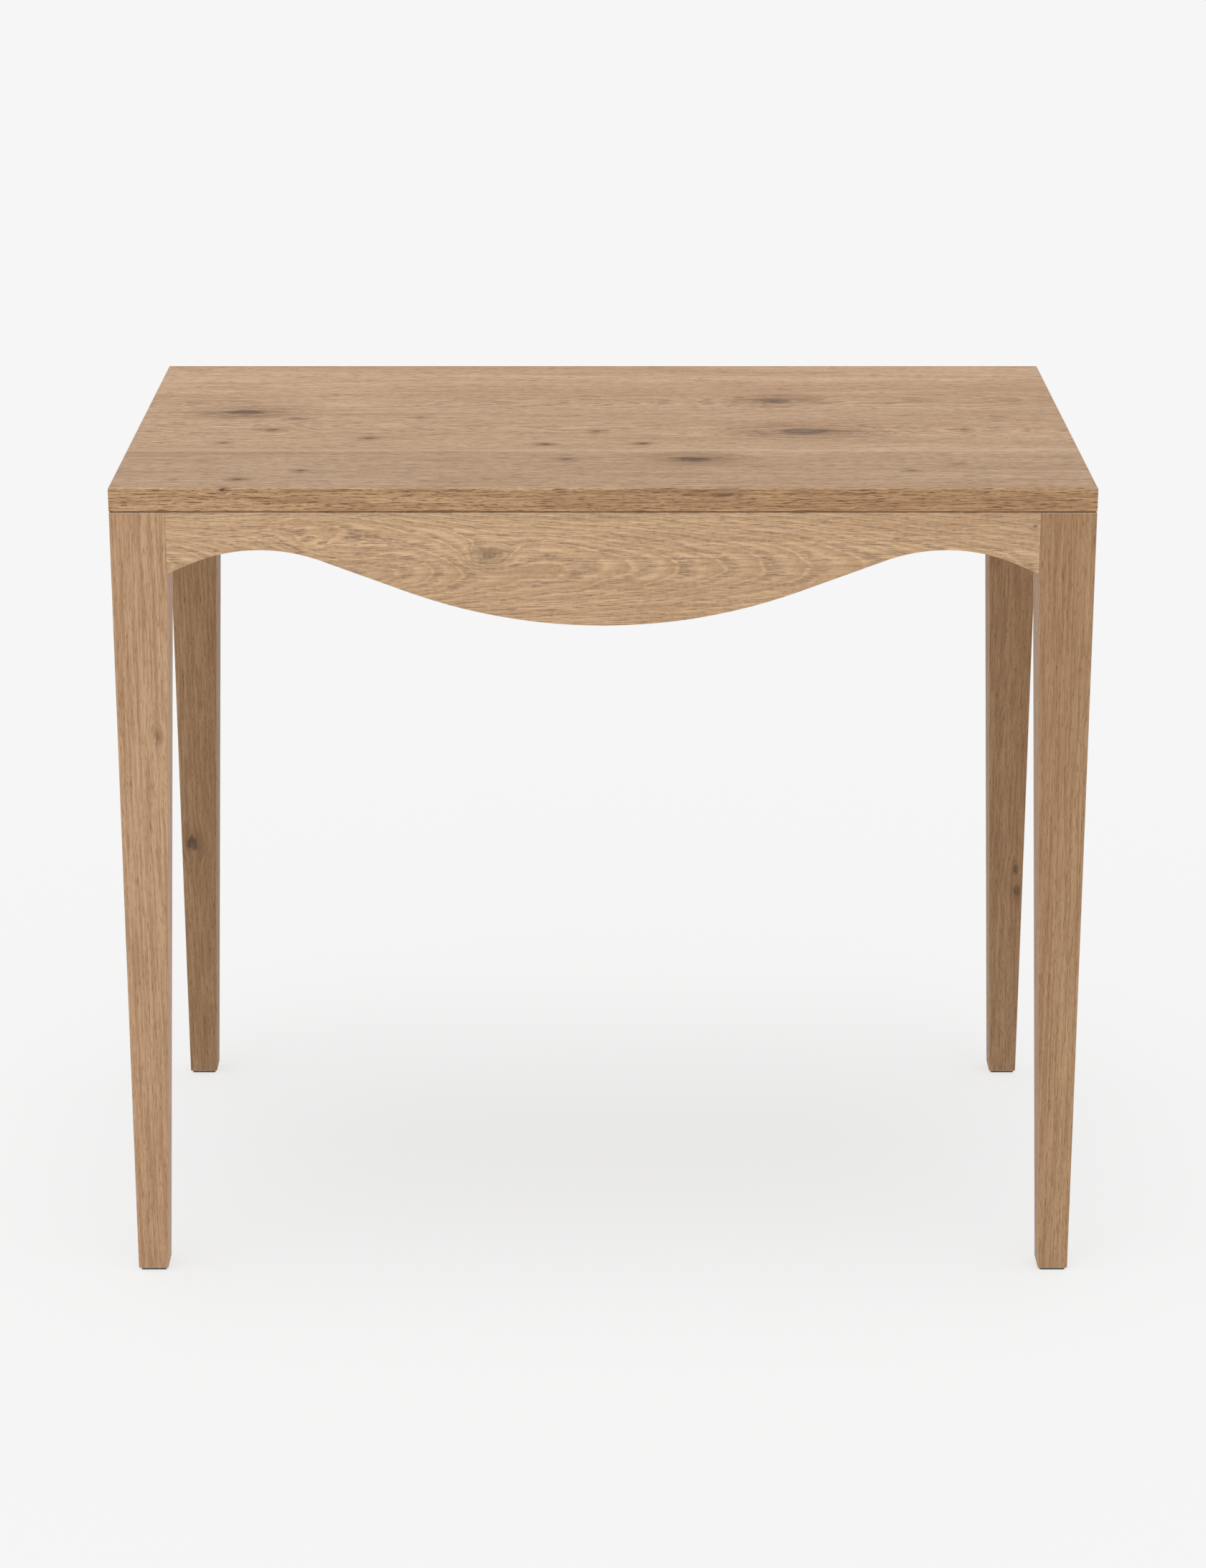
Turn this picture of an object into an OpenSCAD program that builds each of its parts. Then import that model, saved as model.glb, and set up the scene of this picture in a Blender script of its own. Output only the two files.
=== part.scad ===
// Oak writing desk: a four-board top on tapered legs and waved aprons, held together by
// mortise and tenon joints, corner blocks, a center rail and top buttons.
// Millimetres. X runs along the desk, Y from its front to its back, Z up.
// The origin is on the floor under the middle of the desk.

/* [Overall] */
// Length of the top
desk_w = 880; // [720:10:1400]
// Depth of the top, front to back
desk_d = 520; // [430:10:760]
// Height of the top's surface above the floor
desk_h = 762; // [600:1:950]

/* [Top] */
// Thickness of the top boards
top_t = 22; // [18:1:36]
// Width of the front board
front_board_w = 142; // [80:1:170]
// Width of the second board
mid_front_board_w = 122; // [80:1:146]
// Width of the third board, after which the rear board takes the rest
mid_rear_board_w = 123; // [80:1:148]
// Chamfer that eases the edges of the top and of the legs' ends
arris = 1; // [0.3:0.1:3]

/* [Legs] */
// Width and depth of a leg at its top
leg_top = 50; // [42:1:70]
// Width and depth of a leg at its foot
leg_foot = 28; // [20:1:40]
// Distance from the top boards down to where the taper starts
taper_start = 62; // [58:1:160]

/* [Aprons] */
// Thickness of an apron
apron_t = 22; // [18:1:27]
// Height of an apron where it meets a leg
apron_end_h = 57; // [46:1:58]
// Height of an apron at its thinnest
apron_crest_h = 35; // [30:1:40]
// Height of the long aprons at mid-length
long_belly_h = 105; // [60:1:160]
// Height of the short aprons at mid-length
short_belly_h = 70; // [50:1:90]
// Distance from a leg to the crest of a long apron
long_crest_inset = 83; // [60:1:120]
// Distance from a leg to the crest of a short apron
short_crest_inset = 60; // [50:1:75]
// Fullness of the curves, where 1 would leave no straight line between them
curve_fullness = 0.935; // [0.8:0.005:0.98]

/* [Mortises and tenons] */
// Thickness of a tenon
tenon_t = 8; // [6:0.5:10]
// Length of an apron's tenon
tenon_l = 25; // [15:1:30]
// Length of the center rail's tenons
stub_l = 9; // [6:1:12]
// Shoulder above and below a tenon
shoulder = 7; // [4:1:12]
// Play between a tenon and its mortise, on each face
tenon_play = 0.1; // [0.05:0.05:0.5]
// Room for glue past the end of a tenon, biscuit or tongue
glue_gap = 1; // [0.5:0.5:2]

/* [Biscuits] */
// Length of a biscuit
biscuit_l = 56; // [40:1:60]
// Width of a biscuit, half of it in each board
biscuit_w = 23; // [15:1:26]
// Thickness of a biscuit
biscuit_t = 4; // [3:0.5:5]
// Play between a biscuit and its slot, on each face
biscuit_play = 0.1; // [0.05:0.05:0.3]
// Number of biscuits in each joint of the top
biscuits_per_joint = 4; // [2:2:6]

/* [Corner blocks] */
// Length of a corner block along each apron
block_l = 60; // [50:1:70]
// Height of a corner block
block_h = 25; // [18:1:28]
// Distance from the top boards down to a corner block
block_drop = 2; // [1:1:4]
// Gap between a corner block and the leg that it goes round
block_gap = 1; // [0.5:0.5:3]
// Distance from the leg to the screw of a corner block
block_screw_inset = 32; // [24:1:36]
// Wood left under the head of a corner block's screw
block_seat = 14; // [8:1:16]

/* [Center rail] */
// Thickness of the center rail
center_rail_t = 22; // [18:1:30]
// Height of the center rail
center_rail_h = 40; // [30:1:55]
// Wood left under the heads of the center rail's screws
center_rail_seat = 28; // [18:1:28]
// Travel of each center rail screw, either way, as the top swells
top_travel = 3; // [1:0.5:4]

/* [Top buttons] */
// Length of a button along its apron
button_l = 30; // [24:1:36]
// Reach of a button in from its apron
button_w = 28; // [24:1:34]
// Height of a button
button_h = 18; // [15:1:24]
// Thickness of a button's tongue
tongue_t = 6; // [4:0.5:8]
// Length of a button's tongue
tongue_l = 8; // [5:1:10]
// Distance from the top boards down to the slot for a tongue
slot_drop = 9; // [6:0.5:11]
// Play above and below a tongue in its slot
tongue_play = 0.3; // [0.1:0.1:1]
// Room for a button to slide along its slot, either way
button_slide = 3; // [1:1:8]
// Distance from a leg to a button on a long apron
long_button_inset = 210; // [130:5:240]
// Distance from a leg to a button on a short apron
short_button_inset = 110; // [85:1:115]
// Distance from the apron to a button's screw
button_screw_reach = 16; // [10:1:20]
// Wood left under the head of a button's screw
button_seat = 13; // [8:1:14]

/* [Screws] */
// Diameter of a screw's shank
screw_d = 4; // [3:0.5:5]
// Diameter of a screw's head
head_d = 8; // [6:0.5:9]
// Height of a screw's head
head_h = 2.6; // [2:0.1:3.5]
// Play round a shank in its hole and round a head in its counterbore
screw_play = 0.1; // [0.05:0.05:0.3]
// Extra radius of the counterbore that takes a head and its driver
driver_room = 1; // [0.5:0.5:1.5]
// Depth of a screw in a top board
top_bite = 12; // [8:1:14]
// Depth of a screw in an apron
apron_bite = 14; // [8:1:15]

/* [Foot pads] */
// Thickness of a foot pad
pad_t = 2; // [1:0.5:5]
// Distance from the edge of a foot to its pad
pad_inset = 2; // [1:0.5:4]
// Radius of a pad's corners
pad_corner_r = 2; // [0.5:0.5:4]

/* [Hidden] */
smooth = 180;
arc_smooth = 720;
blend = 0.05;                          // how far the arcs of the aprons stand past their tangents
past = 1;                              // how far a cutter runs past the face it opens
screw_tip = 5;                         // length of a screw's point
head_ease = 0.8;                       // chamfer round a screw's head
drive_l = 4;                           // cross recess in a screw's head
drive_w = 0.9;
drive_depth = 1.4;
biscuit_tip = 2;                       // flat cut off each end of a biscuit

frame_top = desk_h - top_t;            // top of the legs and aprons
long_half = desk_w / 2 - leg_top;      // from the middle to a leg, along the desk
short_half = desk_d / 2 - leg_top;     // from the middle to a leg, across the desk
long_inside = desk_w / 2 - apron_t;    // from the middle to a short apron's inner face
short_inside = desk_d / 2 - apron_t;   // from the middle to a long apron's inner face
tenon_h = apron_end_h - 2 * shoulder;
stub_h = center_rail_h - 2 * shoulder;
slot_h = tongue_t + 2 * tongue_play;
hole_r = screw_d / 2 + screw_play;
counterbore_r = head_d / 2 + screw_play + driver_room;
pad_side = leg_foot - 2 * pad_inset;

// Front edge of each board of the top, then the rear edge of the last one
joint_y = [
    -desk_d / 2,
    -desk_d / 2 + front_board_w,
    -desk_d / 2 + front_board_w + mid_front_board_w,
    -desk_d / 2 + front_board_w + mid_front_board_w + mid_rear_board_w,
    desk_d / 2
];

long_button_x = long_half - long_button_inset;
short_button_y = short_half - short_button_inset;

oak_top = [0.76, 0.63, 0.51];
oak_frame = [0.72, 0.58, 0.43];
plain_wood = [0.80, 0.70, 0.54];
steel = [0.72, 0.72, 0.74];
felt = [0.16, 0.14, 0.13];

// Places its children at a corner of the desk. In their own frame X and Y run inwards from the
// leg's outer faces, so one shape serves all four corners.
module at_corner(right, rear) {
    mirror([right ? 1 : 0, 0, 0])
        mirror([0, rear ? 1 : 0, 0])
            translate([-desk_w / 2, -desk_d / 2, 0])
                children();
}

// Repeats its children at all four corners.
module at_corners() {
    for (right = [false, true])
        for (rear = [false, true])
            at_corner(right, rear)
                children();
}

// Swaps X and Y, which turns a shape for a long apron into one for a short apron.
module swap_xy() {
    mirror([1, -1, 0])
        children();
}

// Places an apron's shape, drawn along X with its outer face at y = 0 and its top at z = 0.
module at_long_apron(rear) {
    mirror([0, rear ? 1 : 0, 0])
        translate([0, -desk_d / 2, frame_top])
            children();
}

module at_short_apron(right) {
    mirror([right ? 1 : 0, 0, 0])
        swap_xy()
            translate([0, -desk_w / 2, frame_top])
                children();
}

// Slab in section, centred along x and standing on y = 0, with eased corners.
module eased_slab_2d(length, thickness) {
    half = length / 2;
    polygon([
        [-half + arris, 0], [half - arris, 0], [half, arris], [half, thickness - arris],
        [half - arris, thickness], [-half + arris, thickness],
        [-half, thickness - arris], [-half, arris]
    ]);
}

// Whole top before it is divided into boards, eased along all its outer edges.
module top_blank() {
    translate([0, 0, frame_top])
        intersection() {
            rotate([90, 0, 0])
                linear_extrude(desk_d, center = true)
                    eased_slab_2d(desk_w, top_t);
            rotate([90, 0, 90])
                linear_extrude(desk_w, center = true)
                    eased_slab_2d(desk_d, top_t);
        }
}

// Biscuit seen from above: the part that two arcs share, with its points cut off.
module biscuit_2d(grow) {
    half_w = biscuit_w / 2 + grow;
    half_l = biscuit_l / 2 + biscuit_tip + grow;
    arc_r = (half_l ^ 2 + half_w ^ 2) / (2 * half_w);
    intersection() {
        translate([0, half_w - arc_r])
            circle(arc_r, $fn = smooth);
        translate([0, arc_r - half_w])
            circle(arc_r, $fn = smooth);
        square([2 * (half_l - biscuit_tip), 2 * half_w + past], center = true);
    }
}

// Repeats its children at each biscuit's place.
module at_biscuits() {
    spacing = desk_w / biscuits_per_joint;
    for (joint = [1 : len(joint_y) - 2])
        for (i = [0 : biscuits_per_joint - 1])
            translate([(i + 0.5) * spacing - desk_w / 2, joint_y[joint], frame_top + top_t / 2])
                children();
}

module biscuit_slots() {
    at_biscuits()
        linear_extrude(biscuit_t + 2 * biscuit_play, center = true)
            biscuit_2d(glue_gap);
}

// Pan-head screw along Z, its head above z = 0 and its shank below.
module screw(seat, bite) {
    reach = seat + bite;
    difference() {
        rotate_extrude($fn = smooth)
            polygon([
                [0, -reach], [screw_d / 2, -reach + screw_tip], [screw_d / 2, 0], [head_d / 2, 0],
                [head_d / 2, head_h - head_ease], [head_d / 2 - head_ease, head_h], [0, head_h]
            ]);
        for (turn = [0, 90])
            rotate(turn)
                translate([0, 0, head_h])
                    cube([drive_l, drive_w, 2 * drive_depth], center = true);
    }
}

// Blind hole for a screw's point, from z = 0 down.
module pilot_hole(bite) {
    translate([0, 0, -bite - glue_gap])
        cylinder(h = bite + glue_gap + past, r = hole_r, $fn = smooth);
}

// Hole through a seat, and the counterbore above it for the head.
module seat_hole(seat, counterbore_l) {
    translate([0, 0, -seat - past])
        cylinder(h = seat + 2 * past, r = hole_r, $fn = smooth);
    cylinder(h = counterbore_l, r = counterbore_r, $fn = smooth);
}

// Turns a shape that points down at a joint face so that it drives up into the top boards.
module driven_up(seat) {
    translate([0, 0, frame_top - seat])
        mirror([0, 0, 1])
            children();
}

// Repeats its children at the buttons' places, drawn along X with the apron's inner face at
// y = 0 and the underside of the top at z = 0.
module at_buttons() {
    for (rear = [false, true])
        for (side = [-1, 1])
            at_long_apron(rear)
                translate([side * long_button_x, apron_t, 0])
                    children();
    for (right = [false, true])
        for (side = [-1, 1])
            at_short_apron(right)
                translate([side * short_button_y, apron_t, 0])
                    children();
}

// Repeats its children at the center rail's screws: one for each board of the top, in the
// middle of the stretch where the board lies on the rail.
module at_center_rail_screws() {
    for (i = [0 : len(joint_y) - 2])
        translate([0, (max(joint_y[i], -short_inside) + min(joint_y[i + 1], short_inside)) / 2, 0])
            children();
}

// Every hole that the fastenings need in the underside of the top.
module top_pilot_holes() {
    at_buttons()
        translate([0, button_screw_reach, 0])
            mirror([0, 0, 1])
                pilot_hole(top_bite);
    at_center_rail_screws()
        translate([0, 0, frame_top])
            mirror([0, 0, 1])
                pilot_hole(top_bite);
}

// One board of the top, counted from the front.
module top_board(i) {
    color(oak_top)
        difference() {
            intersection() {
                top_blank();
                translate([-desk_w / 2, joint_y[i], frame_top])
                    cube([desk_w, joint_y[i + 1] - joint_y[i], top_t]);
            }
            biscuit_slots();
            top_pilot_holes();
        }
}

module top_biscuits() {
    color(plain_wood)
        at_biscuits()
            linear_extrude(biscuit_t, center = true)
                biscuit_2d(0);
}

// Leg in section: plumb on its outer side at x = 0, tapered on its inner side.
module leg_section_2d() {
    polygon([
        [arris, pad_t], [leg_foot - arris, pad_t], [leg_foot, pad_t + arris],
        [leg_top, frame_top - taper_start], [leg_top, frame_top],
        [arris, frame_top], [0, frame_top - arris], [0, pad_t + arris]
    ]);
}

// Mortise in a leg for the tenon of the long apron, in the corner's own frame.
module leg_mortise() {
    translate([
        leg_top - tenon_l - glue_gap,
        (apron_t - tenon_t) / 2 - tenon_play,
        frame_top - shoulder - tenon_h - tenon_play
    ])
        cube([tenon_l + glue_gap + past, tenon_t + 2 * tenon_play, tenon_h + 2 * tenon_play]);
}

module leg(right, rear) {
    color(oak_frame)
        at_corner(right, rear)
            difference() {
                intersection() {
                    translate([0, leg_top, 0])
                        rotate([90, 0, 0])
                            linear_extrude(leg_top)
                                leg_section_2d();
                    rotate([90, 0, 90])
                        linear_extrude(leg_top)
                            leg_section_2d();
                }
                leg_mortise();
                swap_xy()
                    leg_mortise();
            }
}

// Sum of the radii of two arcs that meet with no straight line between them, where the curve
// runs "run" sideways and falls "drop".
function radii_sum(run, drop) = (run ^ 2 + drop ^ 2) / (2 * drop);

// Slope of the line that crosses between two circles and touches both.
function cross_tangent(between, radii) =
    atan2(between.y, between.x) + asin(radii / norm(between));

// Direction from a circle's centre to where a line from an outside point touches it, on top.
function touch_direction(to_point, radius) =
    let (turn = atan2(to_point.y, to_point.x) + acos(radius / norm(to_point)))
    [cos(turn), sin(turn)];

// Face of an apron, top edge on y = 0. Its lower edge falls to a belly at mid-length, rises in
// a straight flank to a crest near each leg, and falls in a straight line to the leg. Each arc
// stands "blend" past the one that just touches its lines, so that it crosses them at its ends.
module apron_face_2d(half_span, belly_h, crest_inset) {
    crest_x = half_span - crest_inset;
    crest_h = apron_crest_h + blend;
    low_h = belly_h - blend;
    crest_r = curve_fullness * radii_sum(crest_inset, apron_end_h - crest_h);
    belly_r = curve_fullness * radii_sum(crest_x, low_h - crest_h) - crest_r;
    crest_c = [crest_x, -crest_h - crest_r];
    belly_c = [0, belly_r - low_h];
    end_point = [half_span, -apron_end_h];
    flank = cross_tangent(crest_c - belly_c, crest_r + belly_r);
    down_flank = [sin(flank), -cos(flank)];
    belly_end = belly_c + belly_r * down_flank;
    crest_start = crest_c - crest_r * down_flank;
    crest_end = crest_c + crest_r * touch_direction(end_point - crest_c, crest_r);
    right_side = [[half_span, 0], end_point, crest_end, crest_start, belly_end];
    left_side = [for (i = [len(right_side) - 1 : -1 : 0]) [-right_side[i].x, right_side[i].y]];
    mid_flank = (belly_end + crest_start) / 2;

    difference() {
        union() {
            polygon(concat(right_side, left_side));
            intersection() {
                translate([0, belly_c.y - blend])
                    circle(belly_r, $fn = arc_smooth);
                translate([-mid_flank.x, -belly_h - past])
                    square([2 * mid_flank.x, mid_flank.y + belly_h + past]);
            }
        }
        for (side = [-1, 1])
            translate([side * crest_c.x, crest_c.y + blend])
                circle(crest_r, $fn = arc_smooth);
    }
}

// Apron with its tenons, the slots for two buttons and the holes for two corner block screws.
module apron(half_span, belly_h, crest_inset, button_x) {
    slot_l = button_l + 2 * button_slide;
    difference() {
        union() {
            translate([0, apron_t, 0])
                rotate([90, 0, 0])
                    linear_extrude(apron_t)
                        apron_face_2d(half_span, belly_h, crest_inset);
            translate([-half_span - tenon_l, (apron_t - tenon_t) / 2, -shoulder - tenon_h])
                cube([2 * (half_span + tenon_l), tenon_t, tenon_h]);
        }
        rotate([45, 0, 0])
            cube([2 * half_span + past, arris * sqrt(2), arris * sqrt(2)], center = true);
        for (side = [-1, 1]) {
            translate([
                side * button_x - slot_l / 2,
                apron_t - tongue_l - glue_gap,
                -slot_drop - slot_h
            ])
                cube([slot_l, tongue_l + glue_gap + past, slot_h]);
            translate([
                side * (half_span - block_screw_inset),
                apron_t,
                -block_drop - block_h / 2
            ])
                rotate([-90, 0, 0])
                    pilot_hole(apron_bite);
        }
    }
}

module long_apron(rear) {
    color(oak_frame)
        at_long_apron(rear)
            difference() {
                apron(long_half, long_belly_h, long_crest_inset, long_button_x);
                translate([
                    -tenon_t / 2 - tenon_play,
                    apron_t - stub_l - glue_gap,
                    -shoulder - stub_h - tenon_play
                ])
                    cube([
                        tenon_t + 2 * tenon_play,
                        stub_l + glue_gap + past,
                        stub_h + 2 * tenon_play
                    ]);
            }
}

module short_apron(right) {
    color(oak_frame)
        at_short_apron(right)
            apron(short_half, short_belly_h, short_crest_inset, short_button_y);
}

// Places its children at the head of a corner block's screw in the long apron, in the corner's
// own frame, with the screw's point towards the apron.
module at_block_screw() {
    translate([
        leg_top + block_screw_inset,
        apron_t + block_seat,
        frame_top - block_drop - block_h / 2
    ])
        rotate([-90, 0, 0])
            children();
}

module corner_block(right, rear) {
    near = leg_top + block_gap;
    far = leg_top + block_l;
    color(plain_wood)
        at_corner(right, rear)
            difference() {
                translate([0, 0, frame_top - block_drop - block_h])
                    linear_extrude(block_h)
                        polygon([
                            [near, apron_t], [far, apron_t], [apron_t, far],
                            [apron_t, near], [near, near]
                        ]);
                at_block_screw()
                    seat_hole(block_seat, block_l);
                swap_xy()
                    at_block_screw()
                        seat_hole(block_seat, block_l);
            }
}

module corner_block_screws() {
    color(steel)
        at_corners() {
            at_block_screw()
                screw(block_seat, apron_bite);
            swap_xy()
                at_block_screw()
                    screw(block_seat, apron_bite);
        }
}

// Rail on edge under the middle of the top. Its screw holes are slots, so the top can swell.
module center_rail() {
    color(plain_wood)
        difference() {
            union() {
                translate([-center_rail_t / 2, -short_inside, frame_top - center_rail_h])
                    cube([center_rail_t, 2 * short_inside, center_rail_h]);
                translate([-tenon_t / 2, -short_inside - stub_l, frame_top - shoulder - stub_h])
                    cube([tenon_t, 2 * (short_inside + stub_l), stub_h]);
            }
            at_center_rail_screws()
                driven_up(center_rail_seat) {
                    for (travel = [-top_travel, top_travel])
                        translate([0, travel, 0])
                            seat_hole(center_rail_seat, center_rail_h);
                    translate([-hole_r, -top_travel, -center_rail_seat - past])
                        cube([2 * hole_r, 2 * top_travel, center_rail_seat + 2 * past]);
                    translate([-counterbore_r, -top_travel, 0])
                        cube([2 * counterbore_r, 2 * top_travel, center_rail_h]);
                }
        }
}

module center_rail_screws() {
    color(steel)
        at_center_rail_screws()
            driven_up(center_rail_seat)
                screw(center_rail_seat, top_bite);
}

module top_buttons() {
    color(plain_wood)
        at_buttons()
            difference() {
                union() {
                    translate([-button_l / 2, 0, -button_h])
                        cube([button_l, button_w, button_h]);
                    translate([-button_l / 2, -tongue_l, -slot_drop - tongue_play - tongue_t])
                        cube([button_l, tongue_l + past, tongue_t]);
                }
                translate([0, button_screw_reach, -button_seat])
                    mirror([0, 0, 1])
                        seat_hole(button_seat, button_h);
            }
}

module top_button_screws() {
    color(steel)
        at_buttons()
            translate([0, button_screw_reach, -button_seat])
                mirror([0, 0, 1])
                    screw(button_seat, top_bite);
}

module foot_pad(right, rear) {
    corner = pad_side / 2 - pad_corner_r;
    color(felt)
        at_corner(right, rear)
            translate([leg_foot / 2, leg_foot / 2, 0])
                linear_extrude(pad_t) {
                    square([pad_side, 2 * corner], center = true);
                    square([2 * corner, pad_side], center = true);
                    for (x = [-corner, corner])
                        for (y = [-corner, corner])
                            translate([x, y])
                                circle(pad_corner_r, $fn = smooth);
                }
}

top_board(0);  // top_board_front
top_board(1);  // top_board_mid_front
top_board(2);  // top_board_mid_rear
top_board(3);  // top_board_rear
top_biscuits();
leg(false, false);  // leg_front_left
leg(true, false);  // leg_front_right
leg(false, true);  // leg_rear_left
leg(true, true);  // leg_rear_right
long_apron(false);  // front_apron
long_apron(true);  // rear_apron
short_apron(false);  // left_apron
short_apron(true);  // right_apron
corner_block(false, false);  // corner_block_front_left
corner_block(true, false);  // corner_block_front_right
corner_block(false, true);  // corner_block_rear_left
corner_block(true, true);  // corner_block_rear_right
corner_block_screws();
center_rail();
center_rail_screws();
top_buttons();
top_button_screws();
foot_pad(false, false);  // foot_pad_front_left
foot_pad(true, false);  // foot_pad_front_right
foot_pad(false, true);  // foot_pad_rear_left
foot_pad(true, true);  // foot_pad_rear_right
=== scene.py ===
"""Looks of the oak writing desk with waved aprons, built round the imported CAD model.

Everything is in metres in the desk's own frame: X along the desk, Y to the rear and Z up, with the
origin on the floor under the middle. The front apron faces -Y.
"""

import math
import random
from collections import namedtuple

import bmesh
import bpy
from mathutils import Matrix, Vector


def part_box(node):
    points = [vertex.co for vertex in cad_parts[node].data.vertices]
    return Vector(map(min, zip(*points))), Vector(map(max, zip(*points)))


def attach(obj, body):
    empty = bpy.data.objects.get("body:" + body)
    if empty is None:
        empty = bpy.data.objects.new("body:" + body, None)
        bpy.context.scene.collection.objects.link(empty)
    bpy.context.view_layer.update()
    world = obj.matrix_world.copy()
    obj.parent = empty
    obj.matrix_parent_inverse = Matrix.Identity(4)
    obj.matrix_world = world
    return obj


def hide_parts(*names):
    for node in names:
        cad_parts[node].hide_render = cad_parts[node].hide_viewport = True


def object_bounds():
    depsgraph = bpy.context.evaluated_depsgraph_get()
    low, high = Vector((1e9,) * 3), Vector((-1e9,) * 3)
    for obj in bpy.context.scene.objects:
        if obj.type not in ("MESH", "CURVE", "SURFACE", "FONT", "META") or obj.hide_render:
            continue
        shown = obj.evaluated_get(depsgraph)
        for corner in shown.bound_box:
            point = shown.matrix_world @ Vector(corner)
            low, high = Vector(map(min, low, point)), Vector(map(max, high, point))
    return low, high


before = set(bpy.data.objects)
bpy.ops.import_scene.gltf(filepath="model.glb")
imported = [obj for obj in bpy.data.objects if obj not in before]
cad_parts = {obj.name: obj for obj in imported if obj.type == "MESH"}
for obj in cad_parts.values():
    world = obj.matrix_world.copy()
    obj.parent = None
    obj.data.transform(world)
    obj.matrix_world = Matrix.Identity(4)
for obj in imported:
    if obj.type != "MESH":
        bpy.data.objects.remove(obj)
cad_low, cad_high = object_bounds()

# ----------------------------------------
# Sizes that the joiner's formulas need, in metres
# ----------------------------------------

MM = 0.001
DESK_HALF_W = cad_high.x
DESK_HALF_D = cad_high.y
FRAME_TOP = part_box("leg_front_left")[1].z
LEG_TOP = 50 * MM
APRON_T = 22 * MM
ARRIS = 1 * MM

APRON_END_H = 57 * MM
APRON_CREST_H = 35.05 * MM
CURVE_FULLNESS = 0.935
ARC_LAP = 0.05 * MM                 # the CAD's belly stands this far past its tangents
TENON_T = 8 * MM
TENON_L = 25 * MM
SHOULDER = 7 * MM
STUB_L = 9 * MM
CENTER_RAIL_H = 40 * MM
BLOCK_SCREW_INSET = 32 * MM
BLOCK_SCREW_DROP = 14.5 * MM
APRON_BITE = 14 * MM
TONGUE_L = 8 * MM
TONGUE_T = 6 * MM
TONGUE_PLAY = 0.3 * MM
SLOT_DROP = 9 * MM
SLOT_H = 6.6 * MM
SLOT_L = 36 * MM
PLAY = 0.1 * MM
GLUE_GAP = 1 * MM
LAP = 1 * MM                        # how far a joined or cutting shape runs past a face

SCREW_R = 2 * MM
SCREW_HOLE_R = 2.1 * MM
SCREW_HEAD_R = 4 * MM
SCREW_HEAD_H = 2.6 * MM
SCREW_PITCH = 1.6 * MM
COUNTERBORE_R = 5.1 * MM

WELD = 0.004 * MM
APRON_COLUMNS = 281

random.seed(7)


def colour(red, green, blue):
    """A display colour from 0 to 255 as the linear colour that a shader takes."""
    def linear(level):
        share = level / 255
        return share / 12.92 if share <= 0.04045 else ((share + 0.055) / 1.055) ** 2.4
    return (linear(red), linear(green), linear(blue), 1.0)


# ----------------------------------------
# Node trees
# ----------------------------------------

class Tree:
    """A node tree with short ways to add a node and wire its inputs."""

    def __init__(self, nodes_in):
        self.tree = nodes_in

    def wire(self, socket, value):
        if isinstance(value, bpy.types.NodeSocket):
            self.tree.links.new(value, socket)
        elif value is not None:
            socket.default_value = value

    def gather(self, socket, shapes):
        """Wires every shape to a socket that takes several."""
        for shape in shapes:
            self.tree.links.new(shape, socket)

    def node(self, kind, inputs=None, **settings):
        made = self.tree.nodes.new(kind)
        for name, value in settings.items():
            setattr(made, name, value)
        for key, value in (inputs or {}).items():
            self.wire(made.inputs[key], value)
        return made

    def math(self, operation, *values):
        made = self.node("ShaderNodeMath", dict(enumerate(values)), operation=operation)
        return made.outputs[0]

    def plus(self, first, second):
        return self.math("ADD", first, second)

    def minus(self, first, second):
        return self.math("SUBTRACT", first, second)

    def times(self, first, second):
        return self.math("MULTIPLY", first, second)

    def over(self, first, second):
        return self.math("DIVIDE", first, second)

    def times_plus(self, value, factor, extra):
        return self.math("MULTIPLY_ADD", value, factor, extra)

    def vector(self, operation, *values):
        made = self.node("ShaderNodeVectorMath", dict(enumerate(values)), operation=operation)
        return made.outputs["Vector"]

    def shifted(self, place, way):
        return self.vector("ADD", place, way)

    def between(self, place, start):
        """The way from start to place."""
        return self.vector("SUBTRACT", place, start)

    def stretched(self, place, factors):
        return self.vector("MULTIPLY", place, factors)

    def scaled(self, vector, scale):
        made = self.node("ShaderNodeVectorMath", {0: vector, "Scale": scale},
                         operation="SCALE")
        return made.outputs["Vector"]

    def length(self, vector):
        made = self.node("ShaderNodeVectorMath", {0: vector}, operation="LENGTH")
        return made.outputs["Value"]

    def join(self, x=0.0, y=0.0, z=0.0):
        return self.node("ShaderNodeCombineXYZ", {0: x, 1: y, 2: z}).outputs[0]

    def split(self, vector):
        return self.node("ShaderNodeSeparateXYZ", {0: vector}).outputs

    def mix(self, factor, start, end, blend="MIX"):
        made = self.node("ShaderNodeMix", {0: factor, 6: start, 7: end}, data_type="RGBA",
                         blend_type=blend)
        return made.outputs[2]

    def fade(self, value, low, high, start=0.0, end=1.0):
        """Runs smoothly from start to end as value goes from low to high."""
        made = self.node("ShaderNodeMapRange",
                         {"Value": value, "From Min": low, "From Max": high, "To Min": start,
                          "To Max": end}, interpolation_type="SMOOTHSTEP")
        return made.outputs[0]

    def noise(self, vector, detail=2.0, roughness=0.5):
        made = self.node("ShaderNodeTexNoise", {"Vector": vector, "Scale": 1.0,
                                                "Detail": detail, "Roughness": roughness})
        return made.outputs

    def sway(self, place, waves, detail=2.0):
        """Noise that leans every way, by up to half a unit."""
        noise = self.noise(self.stretched(place, waves), detail=detail)["Color"]
        return self.between(noise, (0.5, 0.5, 0.5))

    def group(self, group, **values):
        made = self.node("ShaderNodeGroup", node_tree=group)
        for name, value in values.items():
            self.wire(made.inputs[name.replace("_", " ")], value)
        return made.outputs


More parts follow.
